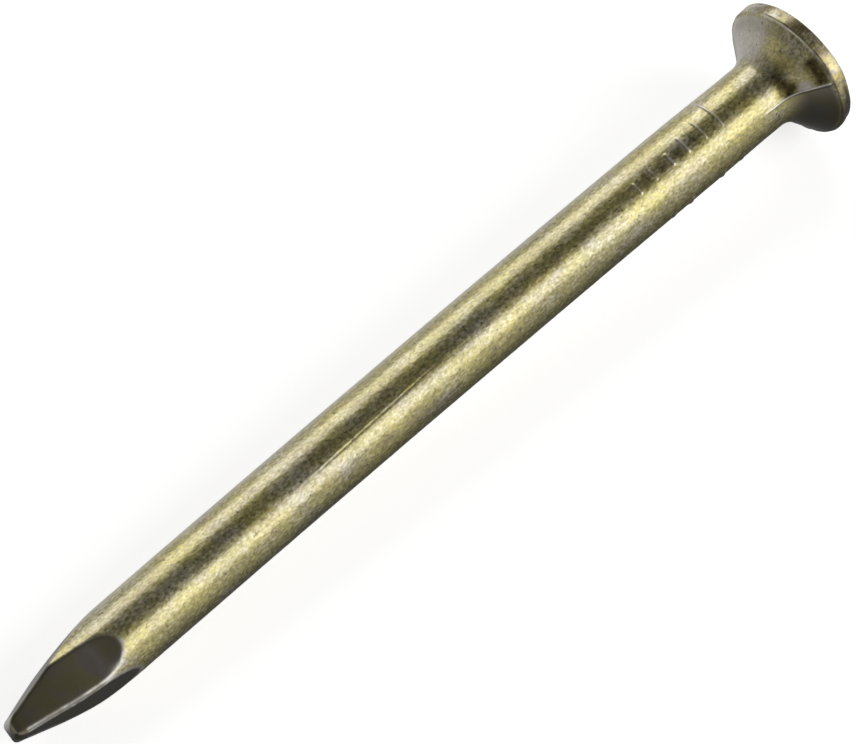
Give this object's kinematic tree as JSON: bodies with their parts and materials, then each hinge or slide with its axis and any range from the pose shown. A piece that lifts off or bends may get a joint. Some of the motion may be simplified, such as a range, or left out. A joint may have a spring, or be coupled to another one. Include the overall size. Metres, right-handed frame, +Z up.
{
  "type": "nail",
  "caption": "Thick coated steel wire nail: round head with a cone underside, gripper-die marks below it and a blunt-tipped diamond point.",
  "frame": {"origin": "centre of the flat striking face, on the nail's axis", "axes": "+X along the nail's axis, from the point towards the head and out of the striking face; +Z up and +Y across, with the nail lying on its side"},
  "size_m": [0.05, 0.007, 0.007],
  "materials": {
    "coated_steel": "satin"
  },
  "bodies": {
    "root": {"nail": "coated_steel"}
  },
  "joints": []
}
